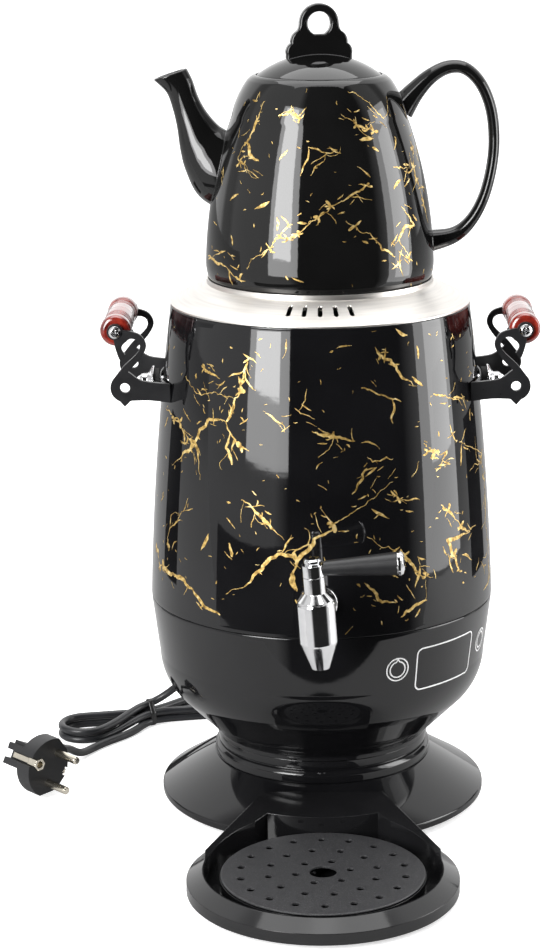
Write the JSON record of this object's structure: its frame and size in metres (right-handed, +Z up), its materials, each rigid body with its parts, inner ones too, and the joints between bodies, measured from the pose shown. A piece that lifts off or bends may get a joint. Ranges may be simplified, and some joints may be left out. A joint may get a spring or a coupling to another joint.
{
  "type": "electric samovar",
  "caption": "Electric samovar with a teapot on its vented lid, a lever tap over a sliding drip tray, two turned side grips on curled brackets and a mains lead.",
  "frame": {"origin": "on the boiler's axis, at table level", "axes": "+Z up, -Y towards the tap and the drip tray, -X towards the teapot's spout"},
  "size_m": [0.3229, 0.3925, 0.4775],
  "materials": {
    "marbled_enamel": "gloss black enamel with gold veins",
    "marbled_glaze": "gloss black glaze with gold veins",
    "housing_black": "gloss black",
    "display_black": "gloss black window with white printed lines",
    "tray_black": "gloss black",
    "grille_grey": "fine textured dark grey",
    "lid_steel": "brushed",
    "tank_steel": "plain",
    "chrome": "polished",
    "lever_black": "satin black",
    "bracket_black": "satin black",
    "grip_lacquer": "gloss red-brown lacquer",
    "rubber_black": "matt",
    "screw_steel": "zinc plated",
    "brass": "plain",
    "element_grey": "dark sheath",
    "thermostat_white": "matt",
    "board_green": "satin",
    "parts_grey": "satin",
    "cord_grey": "satin dark grey",
    "pin_nickel": "nickel plated"
  },
  "bodies": {
    "boiler": {"outer_shell": "marbled_enamel", "foot_disc": "housing_black", "neck_ring": "housing_black", "bowl_housing": "housing_black", "base_cover": "housing_black", "display_window": "display_black", "water_tank": "tank_steel", "support_plate": "tank_steel", "heater_plate": "tank_steel", "tap_flange": "chrome", "tap_body": "chrome", "tap_bonnet": "chrome", "handle_bolt_left": "chrome", "handle_bolt_right": "chrome", "handle_bolt_nuts": "chrome", "bracket_nuts": "chrome", "handle_bracket_left": "bracket_black", "handle_bracket_right": "bracket_black", "handle_grip_left": "grip_lacquer", "handle_grip_right": "grip_lacquer", "rubber_feet": "rubber_black", "seam_gasket": "rubber_black", "tap_washers": "rubber_black", "bracket_spacers": "rubber_black", "cover_screws": "screw_steel", "neck_screws": "screw_steel", "tap_nut": "brass", "thermal_cutout": "brass", "heating_element": "element_grey", "thermostat": "thermostat_white", "display_board": "board_green", "control_board": "board_green", "board_parts": "parts_grey", "display_module": "parts_grey", "cord_gland": "cord_grey", "cord_lead": "cord_grey", "cord_hank": "cord_grey", "cord_tie": "cord_grey", "cord_tail": "cord_grey", "plug_body": "cord_grey", "plug_pins": "pin_nickel", "plug_earth": "pin_nickel"},
    "boiler_lid": {"boiler_lid": "lid_steel", "lid_seal": "rubber_black"},
    "teapot": {"teapot_body": "marbled_glaze"},
    "teapot_lid": {"teapot_lid": "marbled_glaze"},
    "tap_lever": {"tap_spindle": "chrome", "tap_cap": "chrome", "lever_rod": "chrome", "lever_grip": "lever_black", "lever_end_cap": "chrome"},
    "drip_tray": {"drip_tray": "tray_black", "tray_feet": "rubber_black"},
    "drip_grille": {"drip_grille": "grille_grey"}
  },
  "joints": [
    {"name": "boiler_lid_lift", "type": "slide", "parent": "boiler", "child": "boiler_lid", "axis": [0, 0, 1], "range_m": [0, 0.06]},
    {"name": "teapot_lift", "type": "slide", "parent": "boiler_lid", "child": "teapot", "axis": [0, 0, 1], "range_m": [0, 0.08]},
    {"name": "teapot_lid_lift", "type": "slide", "parent": "teapot", "child": "teapot_lid", "axis": [0, 0, 1], "range_m": [0, 0.06]},
    {"name": "tap_lever_turn", "type": "hinge", "parent": "boiler", "child": "tap_lever", "pos_m": [-0.00239, -0.13698, 0.1508], "axis": [-0.0697, 0.0012, 0.9976], "range_deg": [-90, 0]},
    {"name": "drip_tray_slide", "type": "slide", "parent": "boiler", "child": "drip_tray", "axis": [0, -1, 0], "range_m": [0, 0.12]},
    {"name": "drip_grille_lift", "type": "slide", "parent": "drip_tray", "child": "drip_grille", "axis": [0, 0, 1], "range_m": [0, 0.05]}
  ]
}
